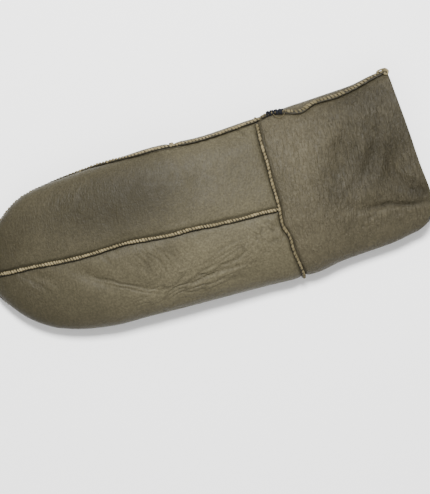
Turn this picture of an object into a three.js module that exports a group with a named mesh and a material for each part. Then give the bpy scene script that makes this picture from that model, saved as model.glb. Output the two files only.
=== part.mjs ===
import * as THREE from "three";

// Leather mitten lying on its palm side. Millimetres, +Z up, thumb side +Y, fingertips at -X, cuff
// mouth at +X.

// Driving sizes
const handLength = 226;
const cuffLength = 110;
const handWidth = 122;
const cuffWidth = 124;
const crownHeight = 42;
const edgeHeight = 12;
const leather = 2.4;
const seamGap = 0.9;
const ridgeWidth = 3.8;
const ridgeHeight = 3;
const ridgeClearance = 0.5;
const seamDip = 1.2;
const seamDipReach = 6;
const thumbReach = 68;
const thumbThickness = 13;
const foldGap = 1.5;

// Roundness of the sections: powers of the sine and cosine, 1 is an ellipse and less is squarer
const backRound = 0.8;
const palmRound = 0.66;
const palmFlattening = 1.1;
const pathPower = 1.5;
const noseStart = 0.012;

const leatherColor = "#6b6550";
const cuffColor = "#625c4c";
const threadColor = "#9c8f68";

// Places of the seams round the section, in degrees from the thumb-side edge, over the back. Along the
// fingers the thumb-side seam lies lower, between the given shares of the hand's length.
const thumbSeamTurn = 18;
const fingerSeamTurn = -10;
const fingerSeamFrom = [0.01, 0.1];
const fingerSeamTo = [0.3, 0.62];
const littleSeamTurn = 205;

// Rows of a table as records with named columns
function table(columns, rows) {
  return rows.map((row) => Object.fromEntries(columns.map((column, k) => [column, row[k]])));
}

// Hand, from the fingertips (0) to the wrist seam (1). "at" is the square root of the share of the
// hand's length. thumbSide, littleSide and middleSeam: shares of half the hand's width. crown: share of
// the crown height. thumbEdge and littleEdge: shares of the edge height. littleFloor: share of the
// thumb's thickness. thumbFloor: share of that thickness with the fold's gap.
const hand = table(
  [
    "at",
    "thumbSide",
    "littleSide",
    "middleSeam",
    "crown",
    "thumbEdge",
    "littleEdge",
    "thumbFloor",
    "littleFloor",
  ],
  [
    [0.0, 0.034, 0.032, 0.033, 0.19, 0.66, 0.66, 0.55, 0.61],
    [0.1, 0.32, -0.2, 0.0, 0.3, 0.7, 0.66, 0.27, 0.3],
    [0.2, 0.5, -0.395, 0.01, 0.43, 0.8, 0.7, 0.07, 0.08],
    [0.3, 0.665, -0.61, 0.0, 0.54, 0.95, 0.76, 0.0, 0.0],
    [0.4, 0.84, -0.797, -0.015, 0.65, 1.12, 0.85, 0.0, 0.0],
    [0.5, 0.925, -0.918, -0.026, 0.76, 1.38, 0.95, 0.31, 0.34],
    [0.6, 0.965, -0.987, -0.033, 0.87, 1.62, 1.04, 0.82, 0.46],
    [0.7, 0.995, -0.993, -0.044, 0.96, 1.85, 1.1, 1.0, 0.5],
    [0.8, 1.02, -1.005, -0.089, 1.0, 1.9, 1.1, 1.0, 0.2],
    [0.9, 0.99, -1.015, -0.115, 0.95, 1.55, 1.02, 1.0, 0.0],
    [1.0, 1.036, -1.028, -0.144, 0.82, 1.1, 0.95, 1.0, 0.0],
  ],
);

// Cuff, from the wrist seam (0) to the mouth (1). Sides: shares of half the width, which runs from the
// hand's to the cuff's. The other columns are as in the hand's table.
const cuff = table(
  ["at", "thumbSide", "littleSide", "crown", "thumbEdge", "littleEdge"],
  [
    [0.0, 1.036, -1.028, 0.82, 1.1, 0.95],
    [0.15, 1.047, -1.01, 0.83, 1.1, 1.0],
    [0.3, 1.059, -0.963, 0.81, 1.12, 1.03],
    [0.5, 1.076, -0.933, 0.77, 1.15, 1.05],
    [0.7, 1.1, -0.9, 0.74, 1.15, 1.05],
    [0.85, 1.148, -0.85, 0.72, 1.15, 1.05],
    [1.0, 1.17, -0.81, 0.7, 1.15, 1.05],
  ],
);

// Mouth edge: reach as a share of the cuff's length, by the turn round the section in degrees
const mouth = table(
  ["at", "reach"],
  [
    [18, 0.955],
    [50, 0.965],
    [75, 0.98],
    [100, 1.0],
    [122, 1.02],
    [138, 1.005],
    [152, 0.96],
    [166, 0.9],
    [180, 0.87],
    [194, 0.93],
    [210, 1.0],
    [235, 1.01],
    [270, 0.98],
    [320, 0.955],
    [378, 0.955],
  ],
);

// Cuff's side seam: its turn in degrees, from the wrist seam (0) to the mouth (1)
const cuffSeamLine = table(
  ["at", "turn"],
  [
    [0.0, 18],
    [0.1, 10],
    [0.2, 18],
    [0.32, 29],
    [0.43, 22],
    [0.6, 24],
    [0.75, 20],
    [0.87, 17],
    [1.0, 12],
  ],
);

// Wrist seam: how far it strays from its straight line, a share of the hand's length, by the share of
// half the width
const wristWave = table(
  ["at", "stray"],
  [
    [-1.03, 0.018],
    [-0.66, 0.006],
    [-0.5, 0.004],
    [-0.35, -0.009],
    [-0.11, -0.002],
    [0.34, -0.004],
    [0.6, -0.005],
    [1.03, 0.001],
  ],
);

// Thumb outline in the palm, from its inner base to its outer base, at the little-finger-side edge of
// the hand. reach: share of the thumb's reach, towards the fingertips from the outer base. across:
// share of half the width.
const thumbOutline = table(
  ["at", "reach", "across"],
  [
    [0.0, 0.5, -0.64],
    [0.1, 0.62, -0.65],
    [0.22, 0.83, -0.58],
    [0.33, 0.97, -0.42],
    [0.42, 1.0, -0.25],
    [0.52, 0.96, -0.02],
    [0.64, 0.84, 0.22],
    [0.76, 0.66, 0.5],
    [0.88, 0.4, 0.72],
    [1.0, 0.0, 1.0],
  ],
);

// Soft dents and creases of the back and cuff. along: share of the whole length from the tip. across:
// share of half the width. length and width: half sizes, shares of the whole length. turn: degrees.
// depth: share of crown height.
const dents = table(
  ["along", "across", "length", "width", "turn", "depth"],
  [
    [0.235, -0.36, 0.045, 0.016, -36, 0.05],
    [0.34, -0.66, 0.055, 0.018, -26, 0.075],
    [0.46, -0.69, 0.06, 0.018, 8, 0.06],
    [0.11, -0.16, 0.035, 0.016, -25, 0.035],
    [0.52, 0.45, 0.05, 0.04, 60, 0.035],
    [0.3, 0.3, 0.06, 0.03, 75, 0.025],
    [0.9, -0.45, 0.06, 0.018, -12, 0.07],
    [0.84, 0.2, 0.06, 0.035, 62, 0.08],
    [0.94, 0.02, 0.05, 0.03, 70, 0.09],
    [0.76, 0.62, 0.04, 0.03, 20, 0.045],
  ],
);

// Slanting palm seam, straight across from the little-finger side to the thumb side, shares of the
// hand's length
const slantLittle = 0.247;
const slantThumb = 0.425;

// Thumb crotch: shares of the hand's length at the inner and outer base, and the inner base's share of
// half the width
const crotchInner = 0.557;
const crotchOuter = 0.708;
const crotchAcross = -0.64;

// Where the palm drapes down beside the thumb: shares of half the hand's width, at its fingers end
const drapeStart = -0.86;
const drapeEnd = -0.7;
const drapeMargin = 0.07;
const drapeFrom = 0.48;
const heelDrape = 0.14;

// Share of the thumb's outline from which it climbs to its outer base
const climbFrom = 0.84;

// Numbers of faces along and across the panels, and of stations along the ridges
const backFaces = { along: 28, thumbSide: 9, littleSide: 11 };
const palmFaces = { fingers: 14, middle: 10, heel: 11, beside: 4, thumb: 13, edge: 4 };
const cuffFaces = { along: 13, round: 36 };
const thumbFaces = [0, 0.34, 0.62, 0.8, 0.91, 0.97, 1];
const foldTurns = [60, 120, 180];
const stations = { middle: 26, edge: 30, wrist: 48, cuffSide: 20, slant: 16, cross: 3, thumb: 20 };
const ridgeSides = 8;

const wholeLength = handLength + cuffLength;
const halfHand = handWidth / 2;
const halfCuff = cuffWidth / 2;
const ridgeLift = ridgeClearance + ridgeHeight / 2;
const rimRadius = thumbThickness / 2 - seamGap / 2;
const noseX = handLength * noseStart ** pathPower;
const crotchY = crotchAcross * halfHand;
const handStep = noseX / 2;
const cuffStep = 0.002;
const underClearTurn = 14;

function radians(degrees) {
  return THREE.MathUtils.degToRad(degrees);
}

function lerp(a, b, share) {
  return a + (b - a) * share;
}

function smooth(low, high, value) {
  return THREE.MathUtils.smoothstep(value, low, high);
}

// A smooth curve through one column of a table
function sample(rows, column, at) {
  const last = rows.length - 1;
  let i = 0;
  while (i < last - 1 && rows[i + 1].at < at) i += 1;
  const span = rows[i + 1].at - rows[i].at;
  const share = THREE.MathUtils.clamp((at - rows[i].at) / span, 0, 1);
  const slope = (k) => {
    const before = rows[Math.max(k - 1, 0)];
    const after = rows[Math.min(k + 1, last)];
    return (after[column] - before[column]) / (after.at - before.at);
  };
  const a = rows[i][column];
  const b = rows[i + 1][column];
  const square = share * share;
  const cube = square * share;
  return (
    a * (2 * cube - 3 * square + 1) +
    b * (3 * square - 2 * cube) +
    slope(i) * span * (cube - 2 * square + share) +
    slope(i + 1) * span * (cube - square)
  );
}

function power(value, exponent) {
  return Math.sign(value) * Math.abs(value) ** exponent;
}

// How far the dents sink the top surface at a place
function dentAt(x, y) {
  let sum = 0;
  for (const dent of dents) {
    const dx = x - dent.along * wholeLength;
    const dy = y - dent.across * halfHand;
    const turn = radians(dent.turn);
    const a = (dx * Math.cos(turn) + dy * Math.sin(turn)) / (dent.length * wholeLength);
    const b = (dy * Math.cos(turn) - dx * Math.sin(turn)) / (dent.width * wholeLength);
    sum += dent.depth * crownHeight * Math.exp(-a * a - b * b);
  }
  return sum;
}

// One point of a flattened round section: the top is domed, the underside is flat at the height that
// floorAt gives
function sectionPoint(x, turn, sides, floorAt) {
  const across = Math.cos(radians(turn));
  const up = Math.sin(radians(turn));
  const round = up >= 0 ? backRound : palmRound;
  const middle = (sides.thumb + sides.little) / 2;
  const half = (sides.thumb - sides.little) / 2;
  const y = middle + half * power(across, round);
  const edge = lerp(sides.littleEdge, sides.thumbEdge, (y - sides.little) / (2 * half));
  const rise = Math.abs(up) ** round;
  if (up >= 0) {
    const dome = sides.crown - (sides.littleEdge + sides.thumbEdge) / 2;
    return new THREE.Vector3(x, y, edge + dome * rise - dentAt(x, y) * rise ** 3);
  }
  const floor = floorAt(x, y);
  return new THREE.Vector3(x, y, Math.max(floor, edge - (edge - floor) * palmFlattening * rise));
}

function sidesFrom(rows, at, half) {
  return {
    thumb: sample(rows, "thumbSide", at) * half,
    little: sample(rows, "littleSide", at) * half,
    crown: sample(rows, "crown", at) * crownHeight,
    thumbEdge: sample(rows, "thumbEdge", at) * edgeHeight,
    littleEdge: sample(rows, "littleEdge", at) * edgeHeight,
  };
}

function handShare(x) {
  return Math.sqrt(Math.max(x, 0) / handLength);
}

// The underside lifts at the wrist seam to make room for its ridge
function wristFloor(distance) {
  const lift = ridgeHeight + 2 * ridgeClearance;
  return lift * (1 - smooth(ridgeWidth / 2, ridgeWidth * 3, Math.abs(distance)));
}

function littleFloor(x) {
  const share = Math.max(sample(hand, "littleFloor", handShare(x)), 0);
  return share * thumbThickness + wristFloor(x - handLength);
}

function thumbTopFloor(x) {
  return Math.max(sample(hand, "thumbFloor", handShare(x)), 0) * (thumbThickness + foldGap);
}

// The palm lies over the thumb and drapes down beside it, closer to it near the crotch
function middleFloor(x, y) {
  const near = smooth(drapeFrom, crotchInner, x / handLength);
  const start = halfHand * lerp(drapeStart, crotchAcross - drapeMargin, near);
  const end = halfHand * lerp(drapeEnd, crotchAcross + drapeMargin, near);
  return lerp(littleFloor(x), thumbTopFloor(x), smooth(start, end, y));
}

function heelFloor(x, y) {
  const inner = smooth(crotchAcross, crotchAcross + heelDrape, y / halfHand);
  return lerp(littleFloor(x), wristFloor(x - handLength), inner);
}

function wristStray(y) {
  return handLength * sample(wristWave, "stray", y / halfHand);
}

// Points of the hand's outer surface. The wrist seam's waves shift the leather near it.
function handSurface(floorAt) {
  return (x, turn) => {
    const point = sectionPoint(x, turn, sidesFrom(hand, handShare(x), halfHand), floorAt);
    point.x += wristStray(point.y) * (Math.max(x, 0) / handLength) ** 4;
    return point;
  };
}

const backSurface = handSurface(middleFloor);
const heelSurface = handSurface(heelFloor);

// Points of the cuff's outer surface, from the wrist seam (0) to the mouth (1)
function cuffSurface(share, turn) {
  const along = share * sample(mouth, "reach", turn);
  const sides = sidesFrom(cuff, along, lerp(halfHand, halfCuff, along));
  const distance = along * cuffLength;
  const point = sectionPoint(handLength + distance, turn, sides, () => wristFloor(distance));
  point.x += wristStray(point.y) * (1 - share) ** 2;
  return point;
}

function thumbSeam(x) {
  const share = x / handLength;
  const lowered = smooth(...fingerSeamFrom, share) * (1 - smooth(...fingerSeamTo, share));
  return lerp(thumbSeamTurn, fingerSeamTurn, lowered);
}

function cuffSeam(share) {
  return sample(cuffSeamLine, "turn", share);
}

function littleSeam() {
  return littleSeamTurn;
}

function middleSeam(x) {
  const sides = sidesFrom(hand, handShare(x), halfHand);
  const y = sample(hand, "middleSeam", handShare(x)) * halfHand;
  const share = (y - (sides.thumb + sides.little) / 2) / ((sides.thumb - sides.little) / 2);
  return THREE.MathUtils.radToDeg(Math.acos(power(share, 1 / backRound)));
}

// The outward direction of a surface at one place
function outward(surface, u, turn, step) {
  const along = surface(u + step, turn).sub(surface(u - step, turn));
  const round = surface(u, turn + 1).sub(surface(u, turn - 1));
  return round.cross(along).normalize();
}

// Degrees of turn that make up one millimetre round a surface
function turnPerLength(surface, u, turn) {
  return 2 / surface(u, turn + 1).distanceTo(surface(u, turn - 1));
}

// A surface drawn in beside its seams, by the distance to each of them
function drawnIn(surface, u, turn, step, distances) {
  const nearest = Math.min(...distances);
  const depth = seamDip * Math.exp(-((nearest / seamDipReach) ** 2));
  return surface(u, turn).addScaledVector(outward(surface, u, turn, step), -depth);
}

function bufferGeometry(points, index) {
  const geometry = new THREE.BufferGeometry();
  const places = points.flatMap((point) => [point.x, point.y, point.z]);
  geometry.setAttribute("position", new THREE.Float32BufferAttribute(places, 3));
  geometry.setIndex(index);
  geometry.computeVertexNormals();
  return geometry;
}

// A leather panel: an outer surface of small faces, given a wall's thickness inwards and closed all
// round its rim
class Panel {
  constructor() {
    this.points = [];
    this.triangles = [];
    this.rimNormals = new Map();
  }

  add(point) {
    const same = this.points.findIndex((other) => other.distanceTo(point) < 0.001);
    if (same >= 0) return same;
    this.points.push(point);
    return this.points.length - 1;
  }

  // At a seam the wall follows the surface's direction on the seam's line, as the panel across the seam
  // does
  alongSeam(corner, surface, x, turn) {
    this.rimNormals.set(corner, outward(surface, x, turn, handStep));
  }

  triangle(a, b, c) {
    if (a !== b && b !== c && c !== a) this.triangles.push([a, b, c]);
  }

  // Faces between rows of corners
  skin(rows) {
    for (let i = 0; i + 1 < rows.length; i += 1) {
      for (let j = 0; j + 1 < rows[i].length; j += 1) {
        this.triangle(rows[i][j], rows[i + 1][j + 1], rows[i + 1][j]);
        this.triangle(rows[i][j], rows[i][j + 1], rows[i + 1][j + 1]);
      }
    }
  }

  geometry() {
    const normals = this.points.map(() => new THREE.Vector3());
    const rim = new Map();
    for (const [a, b, c] of this.triangles) {
      const ab = this.points[b].clone().sub(this.points[a]);
      const normal = ab.cross(this.points[c].clone().sub(this.points[a]));
      for (const [from, to] of [[a, b], [b, c], [c, a]]) {
        normals[from].add(normal);
        if (!rim.delete(`${to},${from}`)) rim.set(`${from},${to}`, [from, to]);
      }
    }
    for (const [k, normal] of this.rimNormals) normals[k].copy(normal);
    const count = this.points.length;
    const inner = this.points.map((point, k) => {
      return point.clone().addScaledVector(normals[k].normalize(), -leather);
    });
    const index = [];
    for (const [a, b, c] of this.triangles) index.push(a, b, c, a + count, c + count, b + count);
    for (const [a, b] of rim.values()) index.push(b, a, a + count, b, a + count, b + count);
    return bufferGeometry([...this.points, ...inner], index);
  }
}

function range(count) {
  return Array.from({ length: count + 1 }, (_, k) => k / count);
}

// Half of the back, between two seams
function backPanel(startSeam, endSeam, columns) {
  const panel = new Panel();
  const lastX = handLength - seamGap / 2;
  panel.skin(
    range(backFaces.along).map((along) => {
      const x = lerp(noseX, lastX, along ** pathPower);
      const start = startSeam(x) + (turnPerLength(backSurface, x, startSeam(x)) * seamGap) / 2;
      const end = endSeam(x) - (turnPerLength(backSurface, x, endSeam(x)) * seamGap) / 2;
      return range(columns).map((across) => {
        const turn = lerp(start, end, across);
        const perLength = turnPerLength(backSurface, x, turn);
        const distances = [(turn - start) / perLength, (end - turn) / perLength, handLength - x];
        const index = panel.add(drawnIn(backSurface, x, turn, handStep, distances));
        if (across === 0) panel.alongSeam(index, backSurface, x, startSeam(x));
        if (across === 1) panel.alongSeam(index, backSurface, x, endSeam(x));
        return index;
      });
    }),
  );
  return panel.geometry();
}

// Turns where the thumb's base starts and ends, and the number of its last column
const innerBaseTurn = 180 + THREE.MathUtils.radToDeg(Math.acos(Math.abs(crotchAcross) ** (1 / palmRound)));
const outerBaseTurn = 347;
const thumbEndColumn = palmFaces.beside + palmFaces.thumb;

// Turns of the palm's columns: beside the thumb, under the thumb, and up the thumb-side edge
function palmTurns(littleX, thumbX) {
  const first = littleSeamTurn + (turnPerLength(backSurface, littleX, littleSeamTurn) * seamGap) / 2;
  const edge = 360 + thumbSeam(thumbX);
  const last = edge - (turnPerLength(backSurface, thumbX, edge) * seamGap) / 2;
  const outer = Math.min(outerBaseTurn, last);
  return [
    ...range(palmFaces.beside).map((share) => lerp(first, innerBaseTurn, share)).slice(0, -1),
    ...range(palmFaces.thumb).map((share) => lerp(innerBaseTurn, outer, share)).slice(0, -1),
    ...range(palmFaces.edge).map((share) => lerp(outer, last, share)),
  ];
}

// Lines across the palm, as distances from the fingertips by the place across
function slantLine(y) {
  return handLength * lerp(slantLittle, slantThumb, (y + halfHand) / handWidth);
}

function crotchLine(y) {
  const share = THREE.MathUtils.clamp((y - crotchY) / (halfHand - crotchY), 0, 1);
  return handLength * lerp(crotchInner, crotchOuter, share);
}

function lineX(line, surface, turn) {
  let x = line(0);
  for (let k = 0; k < 4; k += 1) x = line(surface(x, turn).y);
  return x;
}

// Rows of the palm between two lines, drawn in at its seams. Each limit is a function of the column's
// turn.
function palmRows(panel, surface, rows, spacing, startAt, endAt, seamed) {
  return range(rows).map((along) => {
    const share = along ** spacing;
    const xAt = (turn) => lerp(startAt(turn), endAt(turn), share);
    const turns = palmTurns(xAt(littleSeamTurn), xAt(360 + thumbSeamTurn));
    return turns.map((turn, column) => {
      const start = startAt(turn);
      const end = endAt(turn);
      const x = lerp(start, end, share);
      const perLength = turnPerLength(surface, x, turn);
      const distances = [
        (turn - littleSeamTurn) / perLength,
        (360 + thumbSeam(x) - turn) / perLength,
        seamed.start(turn) ? x - start : handLength,
        seamed.end(turn) ? end - x : handLength,
      ];
      const index = panel.add(drawnIn(surface, x, turn, handStep, distances));
      if (column === 0) panel.alongSeam(index, surface, x, littleSeamTurn);
      if (column === turns.length - 1) panel.alongSeam(index, surface, x, 360 + thumbSeam(x));
      return index;
    });
  });
}

function palmFingers() {
  const panel = new Panel();
  const start = () => noseX;
  const end = (turn) => lineX(slantLine, backSurface, turn) - seamGap / 2;
  const seamed = { start: () => false, end: () => true };
  panel.skin(palmRows(panel, backSurface, palmFaces.fingers, pathPower, start, end, seamed));
  return panel.geometry();
}

// A place on the thumb's outline in the palm, from its inner base (0) to its outer base (1), where it
// climbs
function outlinePoint(share) {
  const outerX = handLength * crotchOuter;
  const x = outerX - sample(thumbOutline, "reach", share) * thumbReach;
  const y = sample(thumbOutline, "across", share) * halfHand;
  const climb = smooth(climbFrom, 1, share);
  return new THREE.Vector3(x, y, lerp(thumbThickness / 2, heelSurface(outerX, outerBaseTurn).z, climb));
}

function outlineOutward(share) {
  const along = outlinePoint(Math.min(share + 0.01, 1)).sub(outlinePoint(Math.max(share - 0.01, 0)));
  return new THREE.Vector3(-along.y, along.x, 0).normalize();
}

function outlineShare(column) {
  return (column - palmFaces.beside) / palmFaces.thumb;
}

// Rows of one side of the thumb, from its base to its outline, curling to the rim like a pillow's edge
function thumbRows(panel, base, firstColumn, rimShift) {
  return thumbFaces.map((share, i) =>
    base.map((corner, k) => {
      if (i === 0) return corner;
      const outline = outlineShare(firstColumn + k);
      const from = panel.points[corner];
      const to = outlinePoint(outline);
      const point = from.clone().lerp(to, share);
      const distance = Math.min(to.distanceTo(point), rimRadius);
      const curl = 1 - Math.sqrt(1 - (1 - distance / rimRadius) ** 2);
      point.z = lerp(from.z, to.z + rimShift, curl);
      const index = panel.add(point);
      if (share === 1) panel.rimNormals.set(index, outlineOutward(outline));
      return index;
    }),
  );
}

// Middle of the palm, with the fold at the crotch and the back of the thumb
function palmMiddle() {
  const panel = new Panel();
  const start = (turn) => lineX(slantLine, backSurface, turn) + seamGap / 2;
  const end = (turn) => lineX(crotchLine, backSurface, turn) - seamGap / 2;
  const crossSeam = (turn) => turn < innerBaseTurn;
  const seamed = { start: () => true, end: crossSeam };
  const rows = palmRows(panel, backSurface, palmFaces.middle, 1, start, end, seamed);
  panel.skin(rows);
  const firstColumn = palmFaces.beside + 1;
  const lastColumn = thumbEndColumn - 3;
  const lip = rows.at(-1).slice(firstColumn, lastColumn + 1);
  const radius = foldGap / 2;
  const fold = foldTurns.map((turn) =>
    lip.map((corner) => {
      const shift = new THREE.Vector3(Math.sin(radians(turn)), 0, Math.cos(radians(turn)) - 1);
      return panel.add(panel.points[corner].clone().addScaledVector(shift, radius));
    }),
  );
  panel.skin([lip, ...fold]);
  panel.skin(thumbRows(panel, fold.at(-1), firstColumn, seamGap / 2));
  return panel.geometry();
}

// Heel of the palm, running on into the front of the thumb
function palmHeel() {
  const panel = new Panel();
  const start = (turn) => lineX(crotchLine, heelSurface, turn) + seamGap / 2;
  const end = () => handLength - seamGap / 2;
  const crossSeam = (turn) => turn < innerBaseTurn;
  const seamed = { start: crossSeam, end: () => true };
  const rows = palmRows(panel, heelSurface, palmFaces.heel, 1, start, end, seamed);
  panel.skin(rows);
  const base = rows[0].slice(palmFaces.beside, thumbEndColumn + 1);
  const thumb = thumbRows(panel, base, palmFaces.beside, -seamGap / 2);
  panel.skin(thumb.reverse());
  return panel.geometry();
}

function cuffPanel() {
  const panel = new Panel();
  panel.skin(
    range(cuffFaces.along).map((along) => {
      const share = lerp(seamGap / 2 / cuffLength, 1, along);
      const first = cuffSeam(share);
      const gap = (turnPerLength(cuffSurface, share, first) * seamGap) / 2;
      return range(cuffFaces.round).map((across) => {
        const turn = lerp(first + gap, first + 360 - gap, across);
        const perLength = turnPerLength(cuffSurface, share, turn);
        const fromSeam = Math.min(turn - first, first + 360 - turn) / perLength;
        const distances = [fromSeam, share * cuffLength];
        return panel.add(drawnIn(cuffSurface, share, turn, cuffStep, distances));
      });
    }),
  );
  return panel.geometry();
}

// A seam's whipped ridge: an oval section carried along stations, each with a place and the direction
// it stands up in
function ridge(line) {
  const sides = ridgeSides;
  const points = [];
  const index = [];
  line.forEach((station, i) => {
    const before = line[Math.max(i - 1, 0)].place;
    const after = line[Math.min(i + 1, line.length - 1)].place;
    const along = after.clone().sub(before).normalize();
    const side = along.clone().cross(station.up).normalize();
    const up = side.clone().cross(along);
    for (let k = 0; k < sides; k += 1) {
      const turn = (k / sides) * 2 * Math.PI + Math.PI / sides;
      const point = station.place.clone();
      point.addScaledVector(side, (Math.cos(turn) * ridgeWidth) / 2);
      point.addScaledVector(up, (Math.sin(turn) * ridgeHeight) / 2);
      points.push(point);
    }
  });
  const ring = (i, k) => i * sides + (k % sides);
  for (let i = 0; i + 1 < line.length; i += 1) {
    for (let k = 0; k < sides; k += 1) {
      index.push(ring(i, k), ring(i + 1, k + 1), ring(i, k + 1));
      index.push(ring(i, k), ring(i + 1, k), ring(i + 1, k + 1));
    }
  }
  const end = line.length - 1;
  for (let k = 1; k + 1 < sides; k += 1) {
    index.push(ring(0, 0), ring(0, k), ring(0, k + 1), ring(end, 0), ring(end, k + 1), ring(end, k));
  }
  return bufferGeometry(points, index);
}

function seamStation(surface, u, turn, step) {
  const up = outward(surface, u, turn, step);
  const place = drawnIn(surface, u, turn, step, [0]).addScaledVector(up, ridgeLift);
  return { place, up };
}

function middleRidge() {
  const firstX = ridgeWidth * 1.5;
  const lastX = handLength - ridgeWidth / 2 - ridgeClearance * 2;
  return ridge(
    range(stations.middle).map((share) => {
      const x = lerp(firstX, lastX, share);
      return seamStation(backSurface, x, middleSeam(x), handStep);
    }),
  );
}

function edgeRidge() {
  const lastX = handLength - ridgeWidth / 2 - ridgeClearance;
  const places = range(stations.edge).slice(1).map((share) => lerp(noseX, lastX, share ** pathPower));
  const nose = { place: backSurface(0, 90), up: new THREE.Vector3(-1, 0, 0) };
  nose.place.addScaledVector(nose.up, ridgeLift);
  const thumbHalf = places.map((x) => seamStation(backSurface, x, thumbSeam(x), handStep));
  const littleHalf = places.map((x) => seamStation(backSurface, x, littleSeam(), handStep));
  return ridge([...thumbHalf.reverse(), nose, ...littleHalf]);
}

function wristRidge() {
  const clearTurn = 7;
  return ridge(
    range(stations.wrist).map((share) => {
      const turn = lerp(thumbSeamTurn + clearTurn, 360 + thumbSeamTurn - clearTurn, share);
      return seamStation(cuffSurface, 0, turn, cuffStep);
    }),
  );
}

function cuffSideRidge() {
  const firstShare = 0.03;
  return ridge(
    range(stations.cuffSide).map((share) => {
      const along = lerp(firstShare, 1, share);
      return seamStation(cuffSurface, along, cuffSeam(along), cuffStep);
    }),
  );
}

// The ridge runs under the palm, with its flat side down
function slantRidge() {
  const first = littleSeamTurn + underClearTurn;
  const last = 360 + thumbSeam(handLength * slantThumb) - underClearTurn;
  return ridge(
    range(stations.slant).map((share) => {
      const turn = lerp(first, last, share);
      return seamStation(backSurface, lineX(slantLine, backSurface, turn), turn, handStep);
    }),
  );
}

// Across the palm from the edge, then round the thumb's outline
function thumbRidge() {
  const across = range(stations.cross).map((share) => {
    const turn = lerp(littleSeamTurn + underClearTurn, innerBaseTurn - underClearTurn / 2, share);
    return seamStation(backSurface, lineX(crotchLine, backSurface, turn), turn, handStep);
  });
  const round = range(stations.thumb).map((share) => {
    const at = lerp(0.08, 0.97, share);
    const up = outlineOutward(at);
    return { place: outlinePoint(at).addScaledVector(up, ridgeLift), up };
  });
  return ridge([...across, ...round]);
}

function piece(name, geometry, color, roughness) {
  const mesh = new THREE.Mesh(geometry, new THREE.MeshStandardMaterial({ color, roughness, metalness: 0 }));
  mesh.name = name;
  return mesh;
}

const leatherRoughness = 0.55;
const threadRoughness = 0.85;

const mitten = new THREE.Group();
const thumbSideBack = backPanel(thumbSeam, middleSeam, backFaces.thumbSide);
const littleSideBack = backPanel(middleSeam, littleSeam, backFaces.littleSide);
mitten.add(piece("back_thumb_side", thumbSideBack, leatherColor, leatherRoughness));
mitten.add(piece("back_little_side", littleSideBack, leatherColor, leatherRoughness));
mitten.add(piece("palm_fingers", palmFingers(), leatherColor, leatherRoughness));
mitten.add(piece("palm_middle", palmMiddle(), leatherColor, leatherRoughness));
mitten.add(piece("palm_heel", palmHeel(), leatherColor, leatherRoughness));
mitten.add(piece("cuff", cuffPanel(), cuffColor, leatherRoughness));
mitten.add(piece("seam_back_middle", middleRidge(), threadColor, threadRoughness));
mitten.add(piece("seam_edge", edgeRidge(), threadColor, threadRoughness));
mitten.add(piece("seam_wrist", wristRidge(), threadColor, threadRoughness));
mitten.add(piece("seam_cuff_side", cuffSideRidge(), threadColor, threadRoughness));
mitten.add(piece("seam_palm_slant", slantRidge(), threadColor, threadRoughness));
mitten.add(piece("seam_thumb", thumbRidge(), threadColor, threadRoughness));

// The origin lies under the middle of the mitten, on the surface that it rests on
const box = new THREE.Box3().setFromObject(mitten);
const center = box.getCenter(new THREE.Vector3());
mitten.position.set(-center.x, -center.y, -box.min.z);

export default mitten;
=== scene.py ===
import math

import bpy
import numpy as np
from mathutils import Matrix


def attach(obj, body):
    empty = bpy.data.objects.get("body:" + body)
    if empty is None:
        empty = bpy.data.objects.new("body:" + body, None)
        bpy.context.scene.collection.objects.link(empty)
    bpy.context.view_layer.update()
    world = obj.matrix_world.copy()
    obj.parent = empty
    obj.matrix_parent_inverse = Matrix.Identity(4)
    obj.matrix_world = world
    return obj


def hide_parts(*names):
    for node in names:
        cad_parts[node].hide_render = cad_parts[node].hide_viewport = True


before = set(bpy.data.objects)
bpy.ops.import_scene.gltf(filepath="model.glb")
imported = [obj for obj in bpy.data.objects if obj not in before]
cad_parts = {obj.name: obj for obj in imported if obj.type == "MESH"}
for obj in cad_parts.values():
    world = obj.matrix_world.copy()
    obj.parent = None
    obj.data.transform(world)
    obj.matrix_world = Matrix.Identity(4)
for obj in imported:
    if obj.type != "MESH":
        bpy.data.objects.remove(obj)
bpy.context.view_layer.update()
print("frame loaded")

# Shapes are worked out in millimetres from the fingertips, with x to the cuff, y to the thumb side and
# z up. rowShift moves them to the frame's place.
rowShift = np.array([-167.41, -4.24, 0.0])

size = {
    "handLength": 226,
    "cuffLength": 110,
    "handWidth": 122,
    "cuffWidth": 124,
    "crownHeight": 42,
    "edgeHeight": 12,
    "leather": 2.4,
    "seamGap": 0.9,
    "ridgeWidth": 3.8,
    "ridgeHeight": 3,
    "ridgeClearance": 0.5,
    "seamDip": 1.2,
    "thumbReach": 68,
    "thumbThickness": 13,
    "foldGap": 1.5,
}
roundness = {"back": 0.8, "palm": 0.66, "flattening": 1.1}
seamTurn = {"thumb": 18, "fingers": -10, "little": 205}
fingerSeam = {"from": (0.01, 0.1), "to": (0.3, 0.62)}
handLength, cuffLength = size["handLength"], size["cuffLength"]
wholeLength = handLength + cuffLength
halfHand, halfCuff, halfGap = size["handWidth"] / 2, size["cuffWidth"] / 2, size["seamGap"] / 2
ridgeLift = size["ridgeClearance"] + size["ridgeHeight"] / 2
noseX = handLength * 0.012**1.5  # where the hand's rows begin
wristEdge = handLength - halfGap


def table(names, rows):
    return dict(zip(names.split(), np.array(rows, float).T))


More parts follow.
